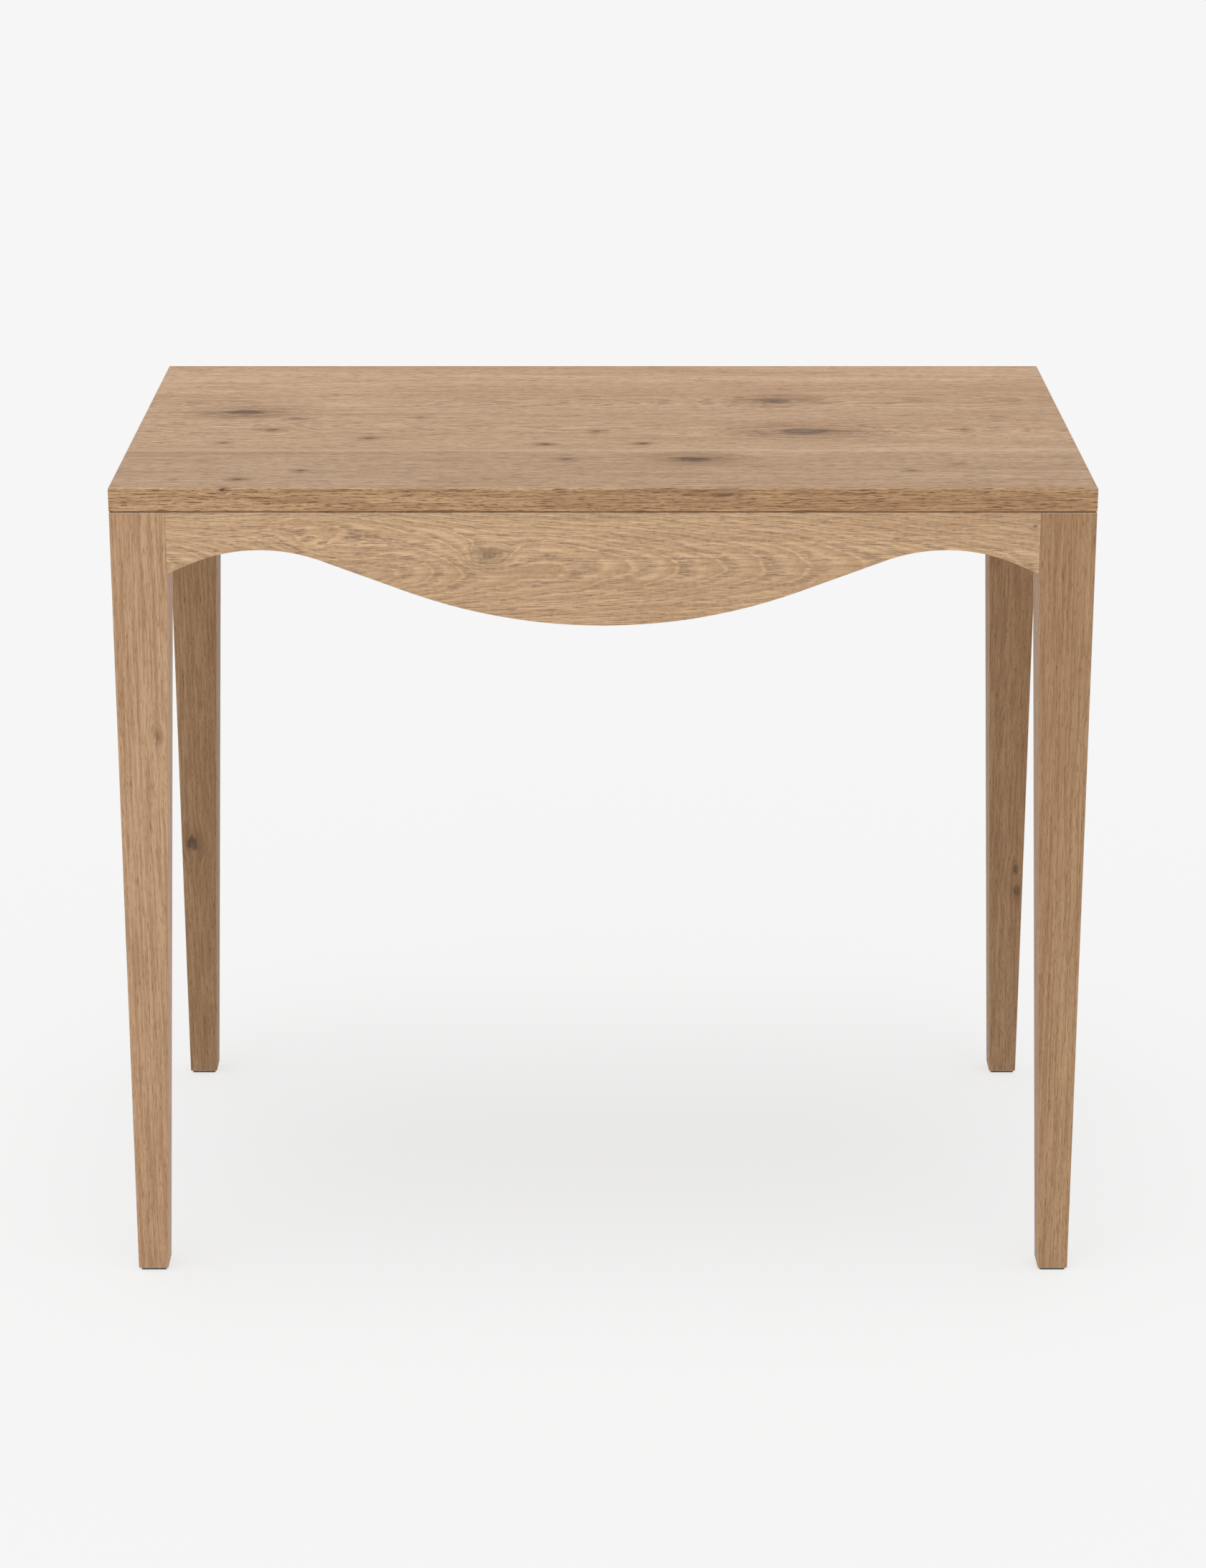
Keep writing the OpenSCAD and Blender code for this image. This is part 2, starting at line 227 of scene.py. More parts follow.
FLOAT, VECTOR = "NodeSocketFloat", "NodeSocketVector"


def new_group(name, kind, inputs, outputs):
    """A node group with named sockets: returns its Tree, its inputs and its output node."""
    group = bpy.data.node_groups.new(name, kind)
    for socket_name, socket_type, default in inputs:
        made = group.interface.new_socket(socket_name, in_out="INPUT", socket_type=socket_type)
        if default is not None:
            made.default_value = default
    for socket_name, socket_type in outputs:
        group.interface.new_socket(socket_name, in_out="OUTPUT", socket_type=socket_type)
    tree = Tree(group)
    given = tree.node("NodeGroupInput").outputs
    return group, tree, given, tree.node("NodeGroupOutput").inputs


# ----------------------------------------
# Effects that the finishes share. X runs along the grain in all of them.
# ----------------------------------------

# Waves of noise in a metre: along the grain, and twice across it
SLOW_BENDS = (2.2, 9, 9)
QUICK_BENDS = (24, 60, 60)
STREAKS = (9, 430, 430)
PATCHES = (1.6, 26, 26)
KNOT_EDGES = (60, 190, 190)
RING_WAVES = 90
FLECKS_ALONG, FLECKS_ROUND, FLECKS_OUT = 70, 240, 260

RING_UNEVENNESS = 1.6
STREAK_ROUGHNESS = 0.62
PORE_SHARE = 0.75                   # a pore's width against one wave of its noise
# Kinds of pore: name, how much shorter and thinner, and the noise level where one starts
PORES = (("Pores", 1.0, 0.60), ("Fine Pores", 1.9, 0.58))
PORE_EDGE = 0.08


def build_wood_figure():
    """Growth rings, pores, rays and streaks of a board cut from a log beside its pith."""
    group, tree, given, out = new_group(
        "wood figure", "ShaderNodeTree",
        [("Vector", VECTOR, None), ("Lift", FLOAT, 0.0), ("Flow", VECTOR, (0, 0, 0)),
         ("Pith", VECTOR, (0, 0.01, -0.06)), ("Drift", VECTOR, (0, 0, 0)),
         ("Ring Width", FLOAT, 3 * MM), ("Wobble", FLOAT, 8 * MM), ("Ripple", FLOAT, 3 * MM),
         ("Pore Length", FLOAT, 14 * MM), ("Pore Width", FLOAT, 0.45 * MM),
         ("Crowding", FLOAT, 0.1)],
        [("Early", FLOAT), ("Late", FLOAT), ("Pores", FLOAT), ("Fine Pores", FLOAT),
         ("Streaks", FLOAT), ("Patches", FLOAT), ("Rays", FLOAT)])
    place = given["Vector"]
    bend = tree.shifted(tree.scaled(tree.sway(place, SLOW_BENDS), given["Wobble"]),
                        tree.scaled(tree.sway(place, QUICK_BENDS), given["Ripple"]))
    bent = tree.shifted(place, tree.shifted(bend, given["Flow"]))

    # Distance to the pith, which drifts sideways and in depth along the board
    along = tree.split(place)[0]
    pith = tree.shifted(given["Pith"], tree.scaled(given["Drift"], along))
    across = tree.stretched(tree.between(bent, pith), (0, 1, 1))
    radius = tree.plus(tree.length(across), given["Lift"])
    uneven = tree.noise(tree.join(tree.times(radius, RING_WAVES)), detail=1)["Fac"]
    count = tree.plus(tree.over(radius, given["Ring Width"]),
                      tree.times(uneven, RING_UNEVENNESS))
    ring = tree.math("FRACT", count)
    early = tree.times(tree.fade(ring, 0.0, 0.14), tree.fade(ring, 0.28, 0.6, 1, 0))
    late = tree.times(tree.fade(ring, 0.5, 0.92), tree.fade(ring, 0.94, 1.0, 1, 0))
    tree.wire(out["Early"], early)
    tree.wire(out["Late"], late)

    # Pores are short dashes along the grain, crowded into the early wood
    pore_across = tree.over(PORE_SHARE, given["Pore Width"])
    pore_waves = tree.join(tree.over(1.0, given["Pore Length"]), pore_across, pore_across)
    crowd = tree.times(early, given["Crowding"])
    for name, fineness, level in PORES:
        waves = tree.scaled(pore_waves, fineness)
        dashes = tree.noise(tree.stretched(bent, waves), detail=1)["Fac"]
        dashes = tree.plus(dashes, crowd)
        tree.wire(out[name], tree.fade(dashes, level, level + PORE_EDGE))

    streaks = tree.noise(tree.stretched(bent, STREAKS), detail=4,
                         roughness=STREAK_ROUGHNESS)["Fac"]
    tree.wire(out["Streaks"], tree.fade(streaks, 0.38, 0.63))
    patches = tree.noise(tree.stretched(bent, PATCHES), detail=3)["Fac"]
    tree.wire(out["Patches"], tree.fade(patches, 0.35, 0.66))

    # Rays run out from the pith, and show as small bright flecks where the face meets them
    parts = tree.split(across)
    turn = tree.math("ARCTAN2", parts[1], parts[2])
    fleck_place = tree.join(tree.times(along, FLECKS_ALONG), tree.times(turn, FLECKS_ROUND),
                            tree.times(radius, FLECKS_OUT))
    flecks = tree.noise(fleck_place, detail=1)["Fac"]
    tree.wire(out["Rays"], tree.fade(flecks, 0.66, 0.78))
    return group


def build_knot():
    """One knot, longer along the grain: its core, the stained wood round it, how far it
    lifts the growth rings and how it parts the grain."""
    group, tree, given, out = new_group(
        "knot", "ShaderNodeTree",
        [("Vector", VECTOR, None), ("Centre", VECTOR, (0, 0, 0)), ("Radius", FLOAT, 5 * MM),
         ("Squeeze", VECTOR, (0.5, 1, 0.15)), ("Rise", FLOAT, 10 * MM)],
        [("Core", FLOAT), ("Stain", FLOAT), ("Lift", FLOAT), ("Flow", VECTOR)])

    def reach_of(away):
        """Distance from the knot's middle in radii, once the knot is squeezed round."""
        squeezed = tree.stretched(away, given["Squeeze"])
        return tree.over(tree.length(squeezed), given["Radius"])

    away = tree.between(given["Vector"], given["Centre"])
    nearness = tree.math("EXPONENT", tree.times(tree.math("POWER", reach_of(away), 2), -0.3))
    tree.wire(out["Flow"], tree.scaled(tree.stretched(away, (0, -0.78, -0.78)), nearness))

    ragged = tree.scaled(tree.join(1.7, 1.1, 0), given["Radius"])
    away = tree.shifted(away, tree.stretched(tree.sway(away, KNOT_EDGES, detail=3), ragged))
    reach = reach_of(away)
    tree.wire(out["Core"], tree.fade(reach, 0.35, 0.75, 1, 0))
    tree.wire(out["Stain"], tree.fade(reach, 0.5, 2.6, 1, 0))
    falloff = tree.math("EXPONENT", tree.times(reach, -0.55))
    tree.wire(out["Lift"], tree.times(falloff, given["Rise"]))
    return group


def build_edge_rubbing_highlight():
    """Pale eased edges, broken up by noise: a painted highlight where the edges catch light, and
    rubbing.
    """
    group, tree, given, out = new_group(
        "pale edge rubbing and highlight", "ShaderNodeTree",
        [("Vector", VECTOR, None), ("Strength", FLOAT, 0.5), ("Grain Size", FLOAT, 4 * MM)],
        [("Wear", FLOAT)])
    edge = tree.node("ShaderNodeAttribute", attribute_name="eased_edge").outputs["Fac"]
    place = tree.scaled(given["Vector"], tree.over(1.0, given["Grain Size"]))
    broken = tree.noise(place, detail=3)["Fac"]
    patchy = tree.fade(broken, 0.25, 0.7, 0.35, 1.0)
    tree.wire(out["Wear"], tree.times(tree.times(edge, patchy), given["Strength"]))
    return group


def build_handling():
    """Faint uneven sheen left by sanding and by hands."""
    group, tree, given, out = new_group(
        "handling", "ShaderNodeTree",
        [("Vector", VECTOR, None), ("Size", FLOAT, 0.05)],
        [("Marks", FLOAT)])
    place = tree.scaled(given["Vector"], tree.over(1.0, given["Size"]))
    broad = tree.noise(place, detail=4, roughness=0.6)["Fac"]
    tree.wire(out["Marks"], tree.fade(broad, 0.3, 0.7))
    return group


def build_crevice():
    """Painted shade: darkens the colour where shade gathers in tight seams and grooves."""
    group, tree, given, out = new_group("crevice", "ShaderNodeTree",
                                        [("Reach", FLOAT, 0.003)], [("Crevice", FLOAT)])
    shut = tree.node("ShaderNodeAmbientOcclusion", {"Distance": given["Reach"]}, samples=4)
    tree.wire(out["Crevice"], tree.fade(shut.outputs["AO"], 0.45, 0.92, 1, 0))
    return group


wood_figure = build_wood_figure()
knot_group = build_knot()
edge_rubbing_highlight = build_edge_rubbing_highlight()
crevice = build_crevice()
handling = build_handling()


# ----------------------------------------
# Finishes
# ----------------------------------------

def add_bump(tree, shader, height, strength, depth):
    bump = tree.node("ShaderNodeBump", {"Strength": strength, "Distance": depth,
                                        "Height": height})
    tree.wire(shader.inputs["Normal"], bump.outputs["Normal"])


def new_material(name):
    material = bpy.data.materials.new(name)
    material.use_nodes = True
    material.node_tree.nodes.clear()
    tree = Tree(material.node_tree)
    shader = tree.node("ShaderNodeBsdfPrincipled")
    surface = tree.node("ShaderNodeOutputMaterial")
    tree.wire(surface.inputs["Surface"], shader.outputs["BSDF"])
    place = tree.node("ShaderNodeTexCoord").outputs["Object"]
    return material, tree, shader, place


# Pale wood, deep wood and the stain in the pores of each kind of piece
TOP_WOOD = (colour(212, 178, 143), colour(160, 124, 90), colour(112, 77, 48))
LEG_WOOD = (colour(212, 175, 137), colour(168, 128, 91), colour(122, 84, 52))
APRON_WOOD = (colour(234, 193, 147), colour(162, 118, 75), colour(110, 72, 40))
BEECH_WOOD = (colour(214, 178, 142), colour(200, 160, 122), colour(160, 116, 82))
KNOT_DARK = colour(66, 42, 24)
# Painted shade for tight seams and grooves
PAINTED_SHADE_DARK = colour(64, 44, 28)
KNOT_BROWN = colour(130, 95, 60)
# Pale wood: the sapwood band, and the painted highlight and rubbing on eased edges
PALE_WOOD_AND_EDGE_HIGHLIGHT = colour(224, 196, 164)
SIDE_TINT = (1.18, 1.08, 0.92, 1)

SHADE_REACH = 3 * MM
SAPWOOD_W = 20 * MM
KNOT_DEPTH_SHARE = 0.15             # knots run on this much less squeezed through a board
THROUGH_EDGE, THROUGH_FACE = 1, 2   # the log's axis that a knot runs along

# A knot's centre in the log, its radius and ring lift in millimetres, how much longer it is
# along the grain, how dark it is, and the axis that it runs along
Knot = namedtuple("Knot", "centre radius stretch rise darkness through")

TURNS = {"x": (0, 0, 0), "y": (0, 0, -math.pi / 2), "z": (0, math.pi / 2, 0)}


def add_knots(tree, place, knots):
    """Every knot's effects, joined: core, stain, ring lift and grain flow."""
    lift, flow, core, stain = 0.0, (0, 0, 0), 0.0, 0.0
    for knot in knots:
        squeeze = [1 / knot.stretch, 1, 1]
        if knot.through is not None:
            squeeze[knot.through] = KNOT_DEPTH_SHARE
        made = tree.group(knot_group, Vector=place, Centre=knot.centre,
                          Radius=knot.radius * MM, Squeeze=squeeze, Rise=knot.rise * MM)
        lift = tree.plus(lift, made["Lift"])
        flow = tree.shifted(flow, made["Flow"])
        core = tree.math("MAXIMUM", core, tree.times(made["Core"], knot.darkness))
        depth = min(1.2 * knot.darkness, 0.9)
        stain = tree.math("MAXIMUM", stain, tree.times(made["Stain"], depth))
    return lift, flow, core, stain


def wood(name, tones, grain="x", offset=(0, 0, 0), shade=(1, 1, 1), knots=(), pores=0.6,
         rings=0.5, warmth=0.0, side_tone=0.0, sapwood=None, rubbing_highlight_amount=0.3, **cut):
    """A wood finish. The offset picks which stretch of the log the piece was cut from, and
    the cut says where its pith lay and how its rings and pores run."""
    material, tree, shader, place = new_material(name)
    mapping = tree.node("ShaderNodeMapping", {"Vector": place, "Rotation": TURNS[grain],
                                              "Location": offset})
    place = mapping.outputs["Vector"]
    lift, flow, core, stain = add_knots(tree, place, knots)
    figure = tree.group(wood_figure, Vector=place, Lift=lift, Flow=flow, **cut)

    pale, deep, pore = (tuple(level * part for level, part in zip(tone, shade)) + (1,)
                        for tone in tones)
    warm = (deep[0] * 1.07, deep[1] * 0.97, deep[2] * 0.85, 1)
    base = pale
    for effect, amount, tone in (("Streaks", 0.8 - 0.3 * rings, deep),
                                 ("Patches", 0.35 + warmth, warm),
                                 ("Late", 0.75 * rings, deep),
                                 ("Early", 0.18 * rings, pore),
                                 ("Rays", 0.22, pale),
                                 ("Fine Pores", 0.4 * pores, pore),
                                 ("Pores", pores, pore)):
        base = tree.mix(tree.times(figure[effect], amount), base, tone)
    if sapwood is not None:
        band = tree.fade(tree.split(place)[1], sapwood, sapwood + SAPWOOD_W, 1, 0)
        base = tree.mix(tree.times(band, 0.22), base, PALE_WOOD_AND_EDGE_HIGHLIGHT)
    if side_tone > 0:
        normal = tree.node("ShaderNodeTexCoord").outputs["Normal"]
        side = tree.times(tree.math("ABSOLUTE", tree.split(normal)[1]), side_tone)
        base = tree.mix(side, base, SIDE_TINT, blend="MULTIPLY")
        both = tree.plus(figure["Pores"], figure["Fine Pores"])
        dark = tree.times_plus(both, 0.35, tree.times(figure["Streaks"], 0.12))
        base = tree.mix(tree.times(dark, side), base, pore)
    if knots:
        lined = tree.times_plus(figure["Streaks"], 0.55, 0.45)
        base = tree.mix(tree.times(stain, lined), base, KNOT_BROWN)
        lined = tree.times_plus(figure["Streaks"], 0.35, 0.65)
        base = tree.mix(tree.times(core, lined), base, KNOT_DARK)
    # Eased edges go pale: a painted highlight where they catch light, and rubbing
    rubbing_and_highlight = tree.group(edge_rubbing_highlight, Vector=place, Strength=rubbing_highlight_amount)["Wear"]
    base = tree.mix(rubbing_and_highlight, base, PALE_WOOD_AND_EDGE_HIGHLIGHT)
    # Painted shade: tight seams and grooves go dark where the ambient occlusion is low
    seam_shade = tree.group(crevice, Reach=SHADE_REACH)["Crevice"]
    base = tree.mix(tree.times(seam_shade, 0.9), base, PAINTED_SHADE_DARK)
    tree.wire(shader.inputs["Base Color"], base)

    marks = tree.group(handling, Vector=place, Size=40 * MM)["Marks"]
    rough = tree.times_plus(marks, 0.08, 0.50)
    rough = tree.times_plus(figure["Pores"], 0.22, rough)
    rough = tree.times_plus(rubbing_and_highlight, -0.10, rough)
    tree.wire(shader.inputs["Roughness"], rough)

    height = tree.times_plus(figure["Pores"], -1.0, figure["Late"])
    height = tree.times_plus(figure["Fine Pores"], -0.5, height)
    add_bump(tree, shader, height, 0.35, 0.2 * MM)
    return material


def zinc(name):
    """Zinc-plated steel, dull and slightly mottled."""
    material, tree, shader, place = new_material(name)
    marks = tree.group(handling, Vector=place, Size=3 * MM)["Marks"]
    rubbing_and_highlight = tree.group(edge_rubbing_highlight, Vector=place, Strength=0.8, Grain_Size=1 * MM)["Wear"]
    base = tree.mix(marks, colour(176, 178, 180), colour(204, 204, 200))
    # Eased edges go pale: a painted highlight, and rubbing
    tree.wire(shader.inputs["Base Color"], tree.mix(rubbing_and_highlight, base, colour(226, 226, 224)))
    shader.inputs["Metallic"].default_value = 1.0
    tree.wire(shader.inputs["Roughness"], tree.times_plus(marks, 0.16, 0.28))
    add_bump(tree, shader, marks, 0.2, 0.04 * MM)
    return material


def felt(name):
    """Dense needled felt: matted fibres that lie every way."""
    material, tree, shader, place = new_material(name)
    coarse = tree.noise(tree.scaled(place, 900), detail=4, roughness=0.7)["Fac"]
    fibres = tree.noise(tree.stretched(place, (4200, 1500, 4200)), detail=3)["Fac"]
    fluff = tree.times(tree.fade(coarse, 0.3, 0.7), tree.fade(fibres, 0.35, 0.65))
    rubbing_and_highlight = tree.group(edge_rubbing_highlight, Vector=place, Strength=0.4, Grain_Size=0.8 * MM)["Wear"]
    base = tree.mix(fluff, colour(52, 47, 44), colour(92, 86, 80))
    # Eased edges go pale: a painted highlight, and rubbing
    tree.wire(shader.inputs["Base Color"], tree.mix(rubbing_and_highlight, base, colour(118, 110, 102)))
    shader.inputs["Roughness"].default_value = 0.95
    shader.inputs["Sheen Weight"].default_value = 0.35
    shader.inputs["Sheen Roughness"].default_value = 0.6
    add_bump(tree, shader, fluff, 0.8, 0.3 * MM)
    return material


# ----------------------------------------
# Finished pieces
# ----------------------------------------

def link_new(name, mesh):
    piece = bpy.data.objects.new(name, mesh)
    bpy.context.scene.collection.objects.link(piece)
    return piece


def ease_edges(piece, width, segments=2):
    """Rounds the piece's sharp edges. The new faces go to a second material slot for now."""
    bevel = piece.modifiers.new("eased edges", "BEVEL")
    bevel.width = width
    bevel.segments = segments
    bevel.limit_method = "ANGLE"
    bevel.angle_limit = math.radians(32)
    bevel.harden_normals = True
    bevel.material = 1


def complete(piece, material, slot, *nodes):
    """Applies the modifiers, marks the eased edges for the painted edge highlight and rubbing, and
    hands the piece over.
    """
    piece.data.materials.clear()
    for _ in range(2):
        piece.data.materials.append(material)
    graph = bpy.context.evaluated_depsgraph_get()
    made = bpy.data.meshes.new_from_object(piece.evaluated_get(graph), depsgraph=graph,
                                           preserve_all_data_layers=True)
    piece.modifiers.clear()
    piece.data = made
    made.name = piece.name
    edge = made.attributes.new("eased_edge", "FLOAT", "FACE")
    edge.data.foreach_set("value", [float(face.material_index == 1) for face in made.polygons])
    made.polygons.foreach_set("material_index", [0] * len(made.polygons))
    made.materials.clear()
    made.materials.append(material)
    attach(piece, "root")
    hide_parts(*nodes)
    return piece


def welded_copy(node):
    """A copy of a CAD node's mesh, its triangles welded and merged into flat faces."""
    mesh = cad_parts[node].data.copy()
    work = bmesh.new()
    work.from_mesh(mesh)
    bmesh.ops.remove_doubles(work, verts=work.verts, dist=WELD)
    bmesh.ops.dissolve_limit(work, angle_limit=math.radians(0.4), verts=work.verts,
                             edges=work.edges)
    for face in work.faces:
        face.smooth = True
    work.to_mesh(mesh)
    work.free()
    for name in ("custom_normal", "sharp_face", "sharp_edge"):
        if name in mesh.attributes:
            mesh.attributes.remove(mesh.attributes[name])
    return mesh


def eased_piece(node, suffix, material, slot, width, segments=2):
    """A wooden piece whose shape is the CAD node's own, with its sharp edges eased."""
    piece = link_new(f"{node}_{suffix}", welded_copy(node))
    ease_edges(piece, width, segments)
    return complete(piece, material, slot, node)


def separate_solids(node):
    """Corners of each separate solid in a CAD node."""
    work = bmesh.new()
    work.from_mesh(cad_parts[node].data)
    bmesh.ops.remove_doubles(work, verts=work.verts, dist=WELD)
    waiting = set(work.verts)
    solids = []
    while waiting:
        border = [waiting.pop()]
        solid = list(border)
        while border:
            vert = border.pop()
            for edge in vert.link_edges:
                other = edge.other_vert(vert)
                if other in waiting:
                    waiting.remove(other)
                    border.append(other)
                    solid.append(other)
        solids.append([vert.co.copy() for vert in solid])
    work.free()
    solids.sort(key=lambda corners: tuple(round(value, 4) for value in middle(corners)))
    return solids


def low_high(corners):
    low = Vector(min(corner[axis] for corner in corners) for axis in range(3))
    high = Vector(max(corner[axis] for corner in corners) for axis in range(3))
    return low, high


def middle(corners):
    low, high = low_high(corners)
    return (low + high) / 2


# ----------------------------------------
# Geometry Nodes
# ----------------------------------------

GEOMETRY, MATERIAL = "NodeSocketGeometry", "NodeSocketMaterial"


def shape_tree(name, sizes):
    """A Geometry Nodes tree that takes points and named sizes."""
    group, tree, given, out = new_group(
        name, "GeometryNodeTree",
        [("Geometry", GEOMETRY, None)] + [(size, FLOAT, 0.01) for size in sizes]
        + [("Turn", FLOAT, 0.0), ("Place", VECTOR, (0, 0, 0)), ("Material", MATERIAL, None)],
        [("Geometry", GEOMETRY)])
    group.is_modifier = True
    return group, tree, given, out


def moved(tree, shape, place, turn=(0, 0, 0), scale=(1, 1, 1)):
    made = tree.node("GeometryNodeTransform", {"Geometry": shape, "Translation": place,
                                               "Rotation": turn, "Scale": scale})
    return made.outputs[0]


def box(tree, x_size, y_size, z_size, centre):
    cube = tree.node("GeometryNodeMeshCube", {"Size": tree.join(x_size, y_size, z_size)})
    return moved(tree, cube.outputs["Mesh"], centre)


def rod(tree, radius, length, centre, turn=(0, 0, 0), sides=24):
    made = tree.node("GeometryNodeMeshCylinder", {"Vertices": sides, "Radius": radius,
                                                  "Depth": length})
    return moved(tree, made.outputs["Mesh"], centre, turn)


def grid_of(tree, length, width, columns):
    """A flat grid three rows wide, and the place of each of its points."""
    grid = tree.node("GeometryNodeMeshGrid", {"Size X": length, "Size Y": width,
                                              "Vertices X": columns, "Vertices Y": 3})
    place = tree.split(tree.node("GeometryNodeInputPosition").outputs[0])
    return grid.outputs["Mesh"], place


def carve(tree, operation, first, others):
    """Joins others to a shape, or cuts them away from it."""
    made = tree.node("GeometryNodeMeshBoolean", operation=operation)
    if operation == "DIFFERENCE":
        tree.wire(made.inputs["Mesh 1"], first)
    else:
        others = [first] + list(others)
    tree.gather(made.inputs["Mesh 2"], others)
    return made.outputs["Mesh"]


def welded(tree, shapes, distance):
    """Joins faces that meet edge to edge."""
    both = tree.node("GeometryNodeJoinGeometry")
    tree.gather(both.inputs[0], shapes)
    made = tree.node("GeometryNodeMergeByDistance", {"Geometry": both.outputs[0],
                                                     "Distance": distance})
    return made.outputs[0]


def extruded(tree, face, way):
    made = tree.node("GeometryNodeExtrudeMesh",
                     {"Mesh": face, "Offset": way, "Offset Scale": 1.0, "Individual": False},
                     mode="FACES")
    return made.outputs


def on_points(tree, given, shape, turn=None):
    """An instance of the shape on every point."""
    spread = tree.node("GeometryNodeInstanceOnPoints",
                       {"Points": given["Geometry"], "Instance": shape, "Rotation": turn})
    return spread.outputs["Instances"]


def facing(tree):
    return tree.node("GeometryNodeInputNamedAttribute", {"Name": "facing"},
                     data_type="FLOAT_VECTOR").outputs["Attribute"]


def hand_out(tree, given, out, shape):
    """Ends a tree: moves the shape to its place, and gives it its finish."""
    shape = moved(tree, shape, given["Place"], tree.join(0, 0, given["Turn"]))
    solid = tree.node("GeometryNodeRealizeInstances", {"Geometry": shape}).outputs[0]
    smooth = tree.node("GeometryNodeSetShadeSmooth", {"Geometry": solid}).outputs[0]
    painted = tree.node("GeometryNodeSetMaterial", {"Geometry": smooth,
                                                    "Material": given["Material"]})
    tree.wire(out["Geometry"], painted.outputs[0])


def slab_from_grid(tree, grid_position, grid, thickness):
    """Bends a flat grid into a face, and gives it thickness along +Y."""
    face = tree.node("GeometryNodeSetPosition", {"Geometry": grid, "Position": grid_position})
    turned = tree.node("GeometryNodeFlipFaces", {"Mesh": face.outputs[0]})
    pushed = extruded(tree, turned.outputs[0], tree.join(0, thickness, 0))
    here = tree.split(tree.node("GeometryNodeInputPosition").outputs[0])
    flush = tree.node("GeometryNodeSetPosition",
                      {"Geometry": pushed["Mesh"], "Selection": pushed["Top"],
                       "Position": tree.join(here[0], thickness, here[2])})
    return welded(tree, (flush.outputs[0], face.outputs[0]), 0.02 * MM)


def build_waved_apron():
    """An apron's board: a belly, a straight flank and a crest on each side of the middle, then
    a straight line to the leg. Tenons, button slots, screw pilots and the rail's mortise
    follow from the named sizes."""
    group, tree, given, out = shape_tree("waved apron", [
        "Half Span", "Belly Radius", "Belly Drop", "Belly End", "Crest Radius", "Crest X",
        "Crest Drop", "Crest Start", "Crest End", "End Drop", "Button X", "Mortise Width"])
    length = tree.times(given["Half Span"], 2)
    grid, (along, row, _) = grid_of(tree, length, 1.0, APRON_COLUMNS)
    x = tree.math("ABSOLUTE", along)

    def arc(radius, from_middle):
        """Height of a circle's edge over its centre line."""
        inside = tree.minus(tree.times(radius, radius), tree.times(from_middle, from_middle))
        return tree.math("SQRT", tree.math("MAXIMUM", inside, 0))

    def drop_of_belly(at):
        centre = tree.minus(given["Belly Drop"], given["Belly Radius"])
        return tree.plus(centre, arc(given["Belly Radius"], at))

    def drop_of_crest(at):
        centre = tree.plus(given["Crest Drop"], given["Crest Radius"])
        return tree.minus(centre, arc(given["Crest Radius"], tree.minus(at, given["Crest X"])))

    def straight(start_x, start_drop, end_x, end_drop):
        share = tree.over(tree.minus(x, start_x), tree.minus(end_x, start_x))
        return tree.times_plus(share, tree.minus(end_drop, start_drop), start_drop)

    def past_x(limit, near, far):
        """Picks far beyond the limit and near before it."""
        beyond = tree.math("GREATER_THAN", x, limit)
        return tree.times_plus(beyond, tree.minus(far, near), near)

    flank = straight(given["Belly End"], drop_of_belly(given["Belly End"]),
                     given["Crest Start"], drop_of_crest(given["Crest Start"]))
    run_out = straight(given["Crest End"], drop_of_crest(given["Crest End"]),
                       given["Half Span"], given["End Drop"])
    drop = past_x(given["Belly End"], drop_of_belly(x), flank)
    drop = past_x(given["Crest Start"], drop, drop_of_crest(x))
    drop = past_x(given["Crest End"], drop, run_out)

    # Rows of the grid: the waved edge, the foot of the arris, and the top edge
    is_low = tree.math("LESS_THAN", row, -0.25)
    is_top = tree.math("GREATER_THAN", row, 0.25)
    eased = tree.times(tree.minus(1, is_top), -ARRIS)
    height = tree.times_plus(is_low, tree.minus(ARRIS, drop), eased)
    position = tree.join(along, tree.times(is_top, ARRIS), height)
    board = slab_from_grid(tree, position, grid, APRON_T)

    tenon_h = APRON_END_H - 2 * SHOULDER
    slot_depth = TONGUE_L + GLUE_GAP
    pilot_depth = APRON_BITE + GLUE_GAP
    mortise_depth = STUB_L + GLUE_GAP
    stub_h = CENTER_RAIL_H - 2 * SHOULDER
    tenons = []
    cuts = []
    for side in (-1, 1):
        end = tree.times(given["Half Span"], side)
        tenon_centre = tree.join(tree.plus(end, side * (TENON_L - LAP) / 2), APRON_T / 2,
                                 -SHOULDER - tenon_h / 2)
        tenons.append(box(tree, TENON_L + LAP, TENON_T, tenon_h, tenon_centre))
        slot_centre = tree.join(tree.times(given["Button X"], side),
                                APRON_T - (slot_depth - LAP) / 2, -SLOT_DROP - SLOT_H / 2)
        cuts.append(box(tree, SLOT_L, slot_depth + LAP, SLOT_H, slot_centre))
        pilot_centre = tree.join(tree.minus(end, side * BLOCK_SCREW_INSET),
                                 APRON_T - (pilot_depth - LAP) / 2, -BLOCK_SCREW_DROP)
        cuts.append(rod(tree, SCREW_HOLE_R, pilot_depth + LAP, pilot_centre,
                        (math.pi / 2, 0, 0)))
    mortise_centre = (0, APRON_T - (mortise_depth - LAP) / 2, -SHOULDER - stub_h / 2)
    cuts.append(box(tree, given["Mortise Width"], mortise_depth + LAP, stub_h + 2 * PLAY,
                    mortise_centre))
    shape = carve(tree, "UNION", board, tenons)
    shape = carve(tree, "DIFFERENCE", shape, cuts)
    hand_out(tree, given, out, shape)
    return group


